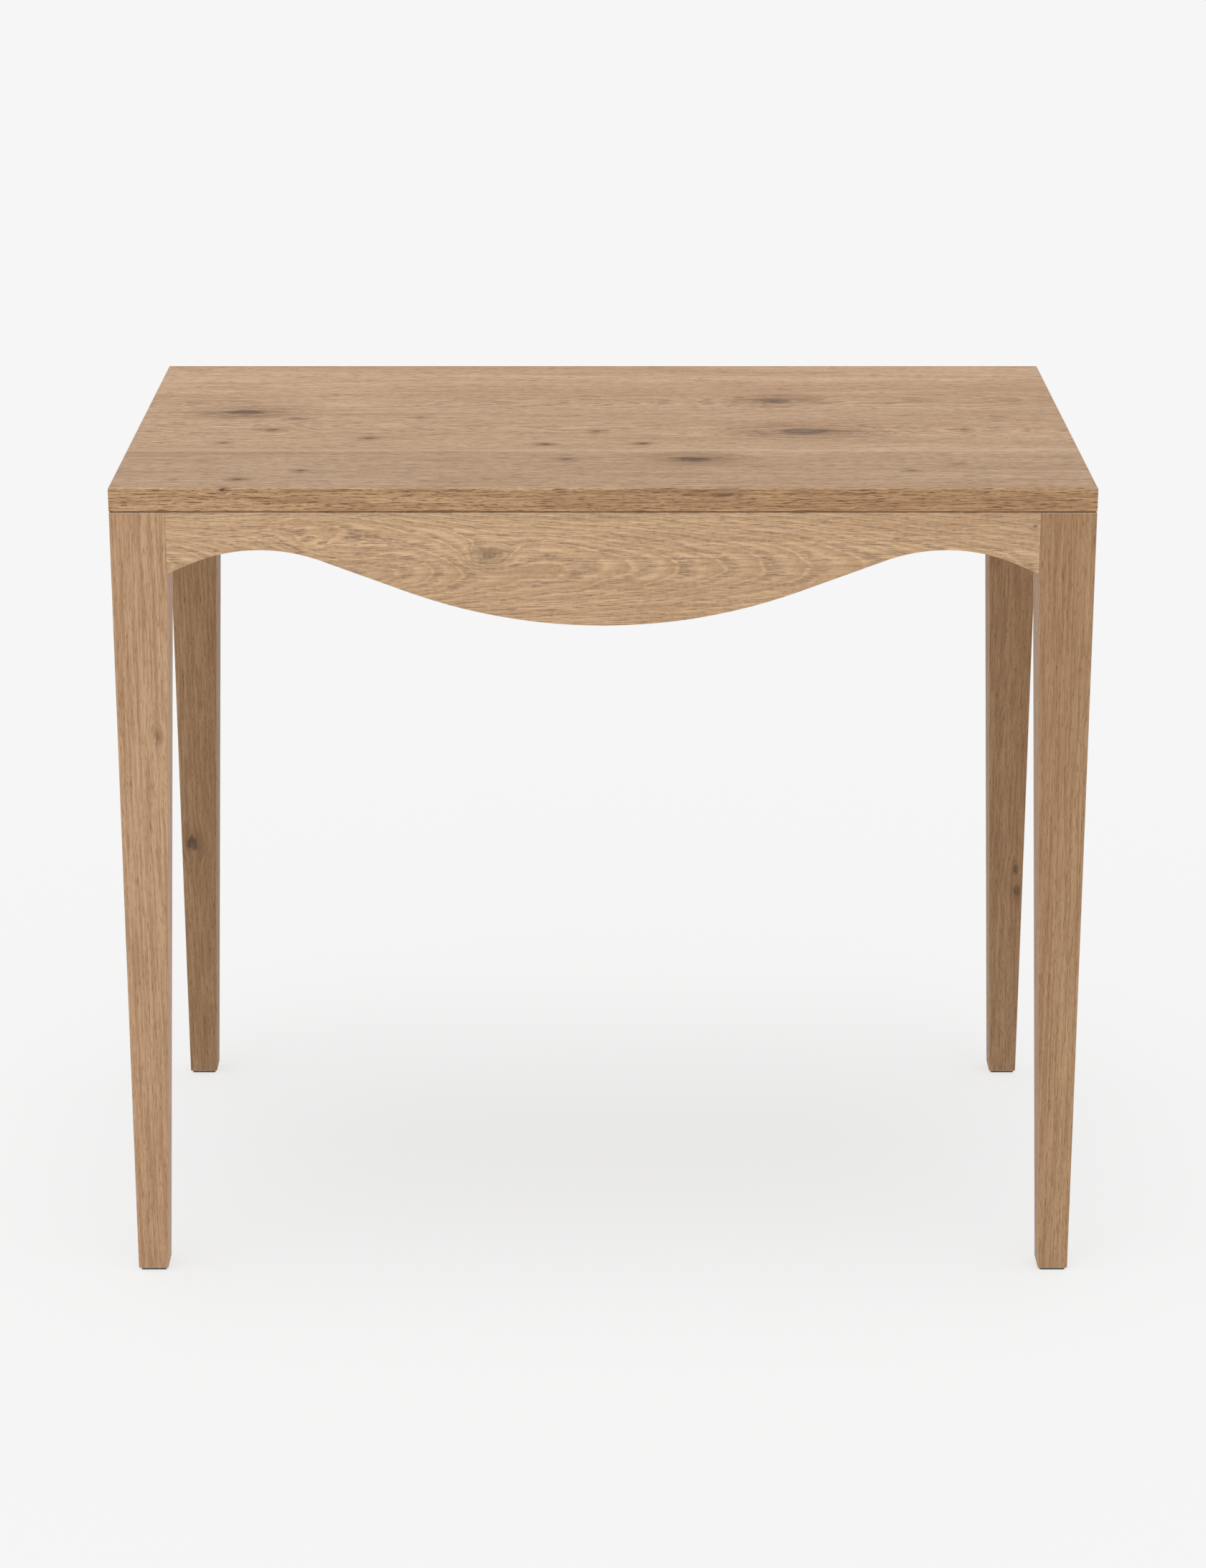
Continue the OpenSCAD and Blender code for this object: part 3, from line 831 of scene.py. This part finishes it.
def build_screw():
    """A pan-head wood screw, its seat at the origin and its point along +Z."""
    group, tree, given, out = shape_tree("pan head screw", [
        "Shank Radius", "Root Radius", "Head Radius", "Head Height", "Plain Length",
        "Threaded Length", "Point Length", "Turns"])
    head_h = given["Head Height"]
    head_r = given["Head Radius"]
    rim = rod(tree, head_r, tree.times(head_h, 0.5), tree.join(z=tree.times(head_h, -0.25)),
              sides=32)
    ball = tree.node("GeometryNodeMeshUVSphere", {"Segments": 32, "Rings": 16, "Radius": 1.0})
    dome = moved(tree, ball.outputs["Mesh"], tree.join(z=tree.times(head_h, -0.45)),
                 scale=tree.join(head_r, head_r, tree.times(head_h, 0.55)))
    wide = tree.times(head_r, 4)
    under = box(tree, wide, wide, wide, tree.join(z=tree.times(wide, 0.5)))
    head = carve(tree, "DIFFERENCE", carve(tree, "UNION", rim, [dome]), [under])

    neck = 0.3 * MM
    whole = tree.plus(given["Plain Length"], given["Threaded Length"])
    core_l = tree.minus(whole, given["Point Length"])
    plain_l = tree.plus(given["Plain Length"], neck)
    plain = rod(tree, given["Shank Radius"], plain_l,
                tree.join(z=tree.times_plus(plain_l, 0.5, -neck)), sides=20)
    core = rod(tree, given["Root Radius"], core_l, tree.join(z=tree.times(core_l, 0.5)),
               sides=20)
    tip = tree.node("GeometryNodeMeshCone", {"Vertices": 20, "Radius Top": 0.1 * MM,
                                             "Radius Bottom": given["Root Radius"],
                                             "Depth": given["Point Length"]})
    tip = moved(tree, tip.outputs["Mesh"], tree.join(z=core_l))
    coil = tree.node("GeometryNodeCurveSpiral",
                     {"Resolution": 14, "Rotations": given["Turns"],
                      "Start Radius": given["Root Radius"], "End Radius": given["Root Radius"],
                      "Height": tree.times(given["Threaded Length"], 0.8)})
    coil = moved(tree, coil.outputs["Curve"], tree.join(z=given["Plain Length"]))
    ridge = tree.node("GeometryNodeCurvePrimitiveCircle", {"Resolution": 4,
                                                           "Radius": 0.55 * MM})
    thread = tree.node("GeometryNodeCurveToMesh",
                       {"Curve": coil, "Profile Curve": ridge.outputs["Curve"],
                        "Fill Caps": True})
    shape = carve(tree, "UNION", head, [plain, core, tip, thread.outputs["Mesh"]])
    slot_l, slot_w, slot_depth = 4.4 * MM, 0.9 * MM, 2.8 * MM
    slot_at = tree.join(z=tree.times(head_h, -1.0))
    bars = [box(tree, slot_l, slot_w, slot_depth, slot_at),
            box(tree, slot_w, slot_l, slot_depth, slot_at)]
    shape = carve(tree, "DIFFERENCE", shape, bars)
    turn = tree.node("FunctionNodeAlignRotationToVector", {"Vector": facing(tree)}, axis="Z")
    hand_out(tree, given, out, on_points(tree, given, shape, turn.outputs["Rotation"]))
    return group


def build_button():
    """A wooden button under the top: its back lies against the apron's inner face at the
    origin, its tongue reaches along -Y into the apron, and its top is at Z = 0."""
    group, tree, given, out = shape_tree("top button", ["Length", "Reach", "Height",
                                                        "Screw Reach", "Seat"])
    body = box(tree, given["Length"], given["Reach"], given["Height"],
               tree.join(0, tree.times(given["Reach"], 0.5), tree.times(given["Height"], -0.5)))
    tongue = box(tree, given["Length"], TONGUE_L + LAP, TONGUE_T,
                 (0, (LAP - TONGUE_L) / 2, -SLOT_DROP - TONGUE_PLAY - TONGUE_T / 2))
    shape = carve(tree, "UNION", body, [tongue])
    hole_l = 60 * MM
    seat_l = 20 * MM
    hole = rod(tree, SCREW_HOLE_R, hole_l, tree.join(0, given["Screw Reach"], 0))
    seat_z = tree.minus(-seat_l / 2, given["Seat"])
    seat = rod(tree, COUNTERBORE_R, seat_l, tree.join(0, given["Screw Reach"], seat_z),
               sides=40)
    shape = carve(tree, "DIFFERENCE", shape, [hole, seat])
    hand_out(tree, given, out, on_points(tree, given, shape, facing(tree)))
    return group


def build_biscuit():
    """A pressed biscuit: two arcs with their points cut off, on every point."""
    group, tree, given, out = shape_tree("joint biscuit", ["Length", "Width", "Thickness",
                                                           "Point"])
    half_w = tree.times(given["Width"], 0.5)
    full_l = tree.plus(tree.times(given["Length"], 0.5), given["Point"])
    squares = tree.plus(tree.math("POWER", full_l, 2), tree.math("POWER", half_w, 2))
    radius = tree.over(squares, tree.times(half_w, 2))
    grid, (along, row, _) = grid_of(tree, given["Length"], 2.0, 25)
    inside = tree.minus(tree.math("POWER", radius, 2), tree.math("POWER", along, 2))
    edge = tree.plus(tree.minus(tree.math("SQRT", inside), radius), half_w)
    flat = tree.join(along, 0, tree.times(row, edge))
    solid = slab_from_grid(tree, flat, grid, given["Thickness"])
    lying = moved(tree, solid, tree.join(z=tree.times(given["Thickness"], -0.5)),
                  (math.pi / 2, 0, 0))
    hand_out(tree, given, out, on_points(tree, given, lying))
    return group


def build_foot_pad():
    """A square pad with rounded corners, its underside at its place."""
    group, tree, given, out = shape_tree("foot pad", ["Side", "Corner", "Thickness"])
    square = tree.node("GeometryNodeCurvePrimitiveQuadrilateral",
                       {"Width": given["Side"], "Height": given["Side"]})
    rounded = tree.node("GeometryNodeFilletCurve",
                        {"Curve": square.outputs[0], "Radius": given["Corner"], "Count": 8},
                        mode="POLY")
    face = tree.node("GeometryNodeFillCurve", {"Curve": rounded.outputs[0]}, mode="NGONS")
    pushed = extruded(tree, face.outputs[0], tree.join(0, 0, given["Thickness"]))
    under = tree.node("GeometryNodeFlipFaces", {"Mesh": face.outputs[0]})
    shape = welded(tree, (under.outputs[0], pushed["Mesh"]), 0.01 * MM)
    hand_out(tree, given, out, shape)
    return group


def grown(name, group, points=(), **sizes):
    """A new piece whose shape a Geometry Nodes tree makes. Points are places and facings."""
    mesh = bpy.data.meshes.new(name)
    mesh.from_pydata([place for place, _ in points], [], [])
    if points:
        made = mesh.attributes.new("facing", "FLOAT_VECTOR", "POINT")
        made.data.foreach_set("vector", [level for _, way in points for level in way])
    piece = link_new(name, mesh)
    modifier = piece.modifiers.new(group.name, "NODES")
    modifier.node_group = group
    for socket in group.interface.items_tree:
        key = socket.name.replace(" ", "_")
        if socket.in_out == "INPUT" and key in sizes:
            modifier[socket.identifier] = sizes[key]
    return piece


# ----------------------------------------
# The desk's pieces
# ----------------------------------------

def radii_sum(run, drop):
    """Sum of the radii of two arcs that meet with no straight line between them."""
    return (run ** 2 + drop ** 2) / (2 * drop)


def wave_sizes(half_span, belly_h, crest_inset):
    """Radii, and the places where each arc ends, of an apron's lower edge."""
    crest_x = half_span - crest_inset
    low_h = belly_h - ARC_LAP
    crest_r = CURVE_FULLNESS * radii_sum(crest_inset, APRON_END_H - APRON_CREST_H)
    belly_r = CURVE_FULLNESS * radii_sum(crest_x, low_h - APRON_CREST_H) - crest_r
    between = Vector((crest_x, low_h - APRON_CREST_H - crest_r - belly_r))
    reach = crest_r + belly_r
    slope = math.atan2(between.y, between.x) + math.asin(reach / between.length)
    to_end = Vector((crest_inset, APRON_CREST_H + crest_r - APRON_END_H))
    touch = math.atan2(to_end.y, to_end.x) + math.acos(crest_r / to_end.length)
    return {
        "Half_Span": half_span, "End_Drop": APRON_END_H,
        "Belly_Radius": belly_r, "Belly_Drop": low_h, "Belly_End": belly_r * math.sin(slope),
        "Crest_Radius": crest_r, "Crest_Drop": APRON_CREST_H, "Crest_X": crest_x,
        "Crest_Start": crest_x - crest_r * math.sin(slope),
        "Crest_End": crest_x + crest_r * math.cos(touch),
    }


def make_aprons(finishes):
    waved_apron = build_waved_apron()
    long_sizes = wave_sizes(DESK_HALF_W - LEG_TOP, 105 * MM, 83 * MM)
    short_sizes = wave_sizes(DESK_HALF_D - LEG_TOP, 70 * MM, 60 * MM)
    long_sizes.update(Button_X=180 * MM, Mortise_Width=TENON_T + 2 * PLAY)
    short_sizes.update(Button_X=100 * MM, Mortise_Width=0.0)
    quarter = math.pi / 2
    for node, sizes, place, turn in (
            ("front_apron", long_sizes, (0, -DESK_HALF_D, FRAME_TOP), 0),
            ("rear_apron", long_sizes, (0, DESK_HALF_D, FRAME_TOP), 2 * quarter),
            ("left_apron", short_sizes, (-DESK_HALF_W, 0, FRAME_TOP), -quarter),
            ("right_apron", short_sizes, (DESK_HALF_W, 0, FRAME_TOP), quarter)):
        piece = grown(f"{node}_oak", waved_apron, Place=place, Turn=turn,
                      Material=finishes[node], **sizes)
        ease_edges(piece, 0.5 * MM)
        complete(piece, finishes[node], "oak_aprons", node)


def make_screws(material):
    screw = build_screw()
    # Plain and threaded lengths in millimetres
    lengths = {"corner_block_screws": (14, 14), "center_rail_screws": (28, 12),
               "top_button_screws": (13, 12)}
    for node, (plain, threaded) in lengths.items():
        points = []
        for corners in separate_solids(node):
            low, high = low_high(corners)
            size = high - low
            axis = max(range(3), key=lambda i: size[i])
            centre = (low + high) / 2
            # Corners far from the axis belong to the head, and show which end it is
            head_side = 0
            for corner in corners:
                away = corner - centre
                off_axis = away.length ** 2 - away[axis] ** 2
                if off_axis > (3 * MM) ** 2:
                    head_side += 1 if away[axis] > 0 else -1
            heading = Vector((0, 0, 0))
            heading[axis] = -1 if head_side > 0 else 1
            seat = centre - heading * (size[axis] / 2 - SCREW_HEAD_H)
            points.append((seat, heading))
        piece = grown(f"{node}_zinc", screw, points, Material=material, Shank_Radius=SCREW_R,
                      Root_Radius=1.45 * MM, Head_Radius=SCREW_HEAD_R,
                      Head_Height=SCREW_HEAD_H, Plain_Length=plain * MM,
                      Threaded_Length=threaded * MM, Point_Length=5 * MM,
                      Turns=threaded * MM * 0.8 / SCREW_PITCH)
        ease_edges(piece, 0.06 * MM, 1)
        complete(piece, material, "zinc_screws", node)


def make_buttons(material):
    points = []
    for corners in separate_solids("top_buttons"):
        centre = middle(corners)
        if DESK_HALF_D - abs(centre.y) < DESK_HALF_W - abs(centre.x):
            side = math.copysign(1, centre.y)
            seat = Vector((centre.x, side * (DESK_HALF_D - APRON_T), FRAME_TOP))
            turn = math.pi if side > 0 else 0.0
        else:
            side = math.copysign(1, centre.x)
            seat = Vector((side * (DESK_HALF_W - APRON_T), centre.y, FRAME_TOP))
            turn = side * math.pi / 2
        points.append((seat, (0, 0, turn)))
    piece = grown("top_buttons_beech", build_button(), points, Material=material,
                  Length=30 * MM, Reach=28 * MM, Height=18 * MM, Screw_Reach=16 * MM,
                  Seat=13 * MM)
    ease_edges(piece, 0.4 * MM)
    complete(piece, material, "beech_blocks", "top_buttons")


def make_biscuits(material):
    points = [(middle(corners), (0, 0, 0)) for corners in separate_solids("top_biscuits")]
    piece = grown("top_biscuits_beech", build_biscuit(), points, Material=material,
                  Length=56 * MM, Width=23 * MM, Thickness=4 * MM, Point=2 * MM)
    ease_edges(piece, 0.3 * MM, 1)
    complete(piece, material, "beech_biscuits", "top_biscuits")


def make_foot_pads(material):
    foot_pad = build_foot_pad()
    for node in sorted(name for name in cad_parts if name.startswith("foot_pad")):
        low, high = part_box(node)
        place = ((low.x + high.x) / 2, (low.y + high.y) / 2, low.z)
        piece = grown(f"{node}_felt", foot_pad, Place=place, Material=material,
                      Side=high.x - low.x, Corner=2 * MM, Thickness=high.z - low.z)
        ease_edges(piece, 0.25 * MM)
        complete(piece, material, "felt_pads", node)


# Knots of the top's face, in millimetres: X, Y, radius, stretch, ring lift and darkness
TOP_KNOTS = {
    "top_board_front": [
        (83, -149, 15, 1.7, 12, 0.8), (-328, -227, 5, 1.4, 3, 0.9),
        (-274, -194, 4.5, 1.4, 3, 0.8), (-33, -149, 4.5, 1.8, 3, 0.8),
        (279, -194, 4, 1.5, 2, 0.6), (322, -169, 4, 1.5, 2, 0.6)],
    "top_board_mid_front": [
        (190, -35, 20, 2.2, 18, 0.8), (-312, -29, 6, 1.7, 5, 0.9),
        (-354, -83, 4, 1.5, 3, 0.8), (-219, -65, 5, 1.6, 3, 0.7), (-6, -35, 5, 1.4, 3, 0.9),
        (37, -86, 5, 1.4, 3, 0.95), (-53, -89, 4.5, 1.5, 3, 0.85),
        (341, -29, 5, 1.4, 3, 0.95)],
    "top_board_mid_rear": [
        (168, 96, 17, 1.6, 10, 0.8), (-345, 45, 18, 1.7, 12, 0.75),
        (-294, 20, 6, 1.8, 4, 0.9), (-176, 26, 4, 1.7, 3, 0.6), (380, 26, 4, 1.7, 3, 0.5)],
    "top_board_rear": [],
}


# A crack and a dark streak in the front edge: neither goes far in
EDGE_MARKS = [Knot((-338 * MM, -DESK_HALF_D, 761 * MM), 3.4, 0.8, 2, 1.0, None),
              Knot((106 * MM, -DESK_HALF_D, 756 * MM), 3.6, 5.0, 2, 0.55, None)]


def make_top():
    cuts = {
        "top_board_front": dict(Pith=(0, -0.30, 0.66), Drift=(0, 0.02, 0.03),
                                Ring_Width=2.6 * MM, shade=(0.90, 0.90, 0.90), side_tone=1.0),
        "top_board_mid_front": dict(Pith=(0, -0.02, 0.69), Drift=(0, -0.03, 0.05),
                                    Ring_Width=2.6 * MM, sapwood=-118 * MM),
        "top_board_mid_rear": dict(Pith=(0, 0.09, 0.67), Drift=(0, 0.03, -0.04),
                                   Ring_Width=2.8 * MM),
        # The rear board's lighter, whiter tone is a painted sheen, standing in for the reflection
        # along the back of the top
        "top_board_rear": dict(Pith=(0, 0.32, 0.62), Drift=(0, 0.02, 0.02),
                               Ring_Width=2.4 * MM, shade=(1.08, 1.08, 1.1), warmth=0.15,
                               side_tone=0.8),
    }
    for node, cut in cuts.items():
        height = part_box(node)[1].z
        knots = [Knot((x * MM, y * MM, height), *form, THROUGH_FACE)
                 for x, y, *form in TOP_KNOTS[node]]
        if node == "top_board_front":
            knots += EDGE_MARKS
        material = wood(f"oak {node.replace('_', ' ')}", TOP_WOOD, pores=0.75, rings=0.6,
                        rubbing_highlight_amount=0.12, knots=knots, Crowding=0.08, **cut)
        eased_piece(node, "oak", material, "oak_top", 0.22 * MM)


def make_legs():
    # Each leg's tone. The rear legs are made much darker as painted shade, for the shadow under
    # the top
    leg_tones_and_shade = {"leg_front_left": (0.98, 0.95, 0.93), "leg_front_right": (0.80, 0.75, 0.66),
              "leg_rear_left": (0.64, 0.59, 0.50), "leg_rear_right": (0.64, 0.59, 0.50)}
    # Knots in millimetres: X, Y, Z, radius, stretch, ring lift and darkness
    knots = {"leg_front_left": [(-405, -260, 531, 4, 1.5, 5, 0.35)],
             "leg_rear_left": [(-429, 223, 263, 9, 1.4, 8, 1.0)],
             "leg_rear_right": [(434, 226, 210, 6, 1.8, 5, 0.7), (432, 225, 234, 4, 2, 3, 0.6)]}
    for node, shade in leg_tones_and_shade.items():
        low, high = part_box(node)
        # The grain stands up, so the log's X is the desk's Z and its Z is the desk's -X
        offset = (random.uniform(-0.5, 0.5), random.uniform(0.02, 0.06), 0)
        side = 1 if high.x > 0 else -1
        pith = (0, offset[1] + (low.y + high.y) / 2 + 0.05, -side * (DESK_HALF_W + 0.06))
        placed = [Knot((z * MM + offset[0], y * MM + offset[1], -x * MM), *form, THROUGH_EDGE)
                  for x, y, z, *form in knots.get(node, [])]
        material = wood(f"oak {node.replace('_', ' ')}", LEG_WOOD, grain="z", offset=offset,
                        shade=shade, knots=placed, pores=0.6, rings=0.3, Pith=pith,
                        Drift=(0, 0.01, 0.02), Ring_Width=3.5 * MM, Wobble=6 * MM,
                        Ripple=2.5 * MM, Pore_Length=13 * MM, Pore_Width=0.3 * MM,
                        Crowding=0.03)
        eased_piece(node, "oak", material, "oak_legs", 0.55 * MM)


def apron_finishes():
    # Two knots, then a place with no knot where the rings swell into a long arch
    knots = [Knot((-102 * MM, -DESK_HALF_D, 700 * MM), 6.0, 1.8, 14, 0.75, THROUGH_EDGE),
             Knot((385 * MM, -DESK_HALF_D, 727 * MM), 2.4, 1.4, 1, 1.0, THROUGH_EDGE),
             Knot((-240 * MM, -DESK_HALF_D, 712 * MM), 14.0, 3.0, 7, 0.0, THROUGH_EDGE)]
    cuts = {
        "front_apron": dict(Pith=(0, 0.07 - DESK_HALF_D, 0.69), Drift=(0, 0.06, 0),
                            knots=knots),
        "rear_apron": dict(Pith=(0, DESK_HALF_D + 0.05, 0.70), Drift=(0, 0.05, 0.03),
                           offset=(0.4, 0, 0.02)),
        "left_apron": dict(Pith=(0, DESK_HALF_W - 0.06, 0.69), Drift=(0, 0.05, 0), grain="y",
                           offset=(0.2, 0, 0.01)),
        "right_apron": dict(Pith=(0, 0.06 - DESK_HALF_W, 0.69), Drift=(0, -0.05, 0),
                            grain="y", offset=(-0.3, 0, 0.01)),
    }
    return {node: wood(f"oak {node.replace('_', ' ')}", APRON_WOOD, rings=0.75, pores=0.7,
                       Ring_Width=2.6 * MM, Wobble=6 * MM, Ripple=1.8 * MM, Crowding=0.11,
                       Pore_Width=0.35 * MM, **cut)
            for node, cut in cuts.items()}


def make_hidden_wood():
    beech = dict(pores=0.25, rings=0.35, Ring_Width=2.2 * MM, Pore_Length=2.5 * MM,
                 Pore_Width=0.3 * MM)
    rail = wood("beech center rail", BEECH_WOOD, grain="y", Pith=(0, 0.05, 0.60), **beech)
    eased_piece("center_rail", "beech", rail, "beech_blocks", 0.6 * MM)
    blocks = sorted(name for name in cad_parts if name.startswith("corner_block")
                    and not name.endswith("screws"))
    for i, node in enumerate(blocks):
        block = wood(f"beech {node.replace('_', ' ')}", BEECH_WOOD, offset=(0.11 * i, 0, 0),
                     Pith=(0, 0.05, 0.62), **beech)
        eased_piece(node, "beech", block, "beech_blocks", 0.6 * MM)
    make_buttons(wood("beech buttons", BEECH_WOOD, Pith=(0, 0.1, 0.64), **beech))
    make_biscuits(wood("beech biscuits", BEECH_WOOD, shade=(0.92, 0.92, 0.92),
                       Pith=(0, 0.1, 0.64), **beech))


# ----------------------------------------
# Studio
# ----------------------------------------

FLOOR_SIDE = 160.0
FLOOR_GREY = (0.2, 0.2, 0.2, 1)
FLOOR_GLOW = 0.70
WHITE = (1, 1, 1, 1)
SKY_LIGHT = 0.62
BACKDROP_LEVEL = 0.913
CAMERA_PLACE = (0, -3.647, 1.5905)
CAMERA_TILT = 71.93
CAMERA_LENS = 89.86
# Name, strength, softness, tilt and turn in degrees
SUNS = (("key light", 1.3, 40, 4, -10), ("fill light", 0.38, 90, 50, -25))


def make_studio():
    scene = bpy.context.scene
    scene.view_settings.view_transform = "Standard"
    scene.view_settings.look = "None"

    half = FLOOR_SIDE / 2
    mesh = bpy.data.meshes.new("floor")
    mesh.from_pydata([(-half, -half, 0), (half, -half, 0), (half, half, 0), (-half, half, 0)],
                     [], [(0, 1, 2, 3)])
    floor = link_new("floor", mesh)
    material, _, shader, _ = new_material("pale floor")
    shader.inputs["Base Color"].default_value = FLOOR_GREY
    shader.inputs["Roughness"].default_value = 1.0
    shader.inputs["Specular IOR Level"].default_value = 0.0
    shader.inputs["Emission Color"].default_value = WHITE
    shader.inputs["Emission Strength"].default_value = FLOOR_GLOW
    mesh.materials.append(material)

    world = bpy.data.worlds.new("studio")
    scene.world = world
    world.use_nodes = True
    sky = Tree(world.node_tree)
    background = world.node_tree.nodes["Background"]
    background.inputs["Color"].default_value = WHITE
    seen = sky.node("ShaderNodeLightPath").outputs["Is Camera Ray"]
    strength = sky.times_plus(seen, BACKDROP_LEVEL - SKY_LIGHT, SKY_LIGHT)
    sky.wire(background.inputs["Strength"], strength)

    for name, energy, softness, tilt, turn in SUNS:
        light = bpy.data.lights.new(name, "SUN")
        light.energy = energy
        light.angle = math.radians(softness)
        lamp = bpy.data.objects.new(name, light)
        lamp.rotation_euler = (math.radians(tilt), 0, math.radians(turn))
        scene.collection.objects.link(lamp)

    camera = bpy.data.cameras.new("camera")
    camera.lens = CAMERA_LENS
    camera.sensor_width = 36.0
    camera.clip_end = 200
    holder = bpy.data.objects.new("camera", camera)
    holder.location = CAMERA_PLACE
    holder.rotation_euler = (math.radians(CAMERA_TILT), 0, 0)
    scene.collection.objects.link(holder)
    scene.camera = holder


make_top()
make_legs()
make_aprons(apron_finishes())
make_hidden_wood()
make_screws(zinc("zinc plated steel"))
make_foot_pads(felt("grey felt"))
make_studio()
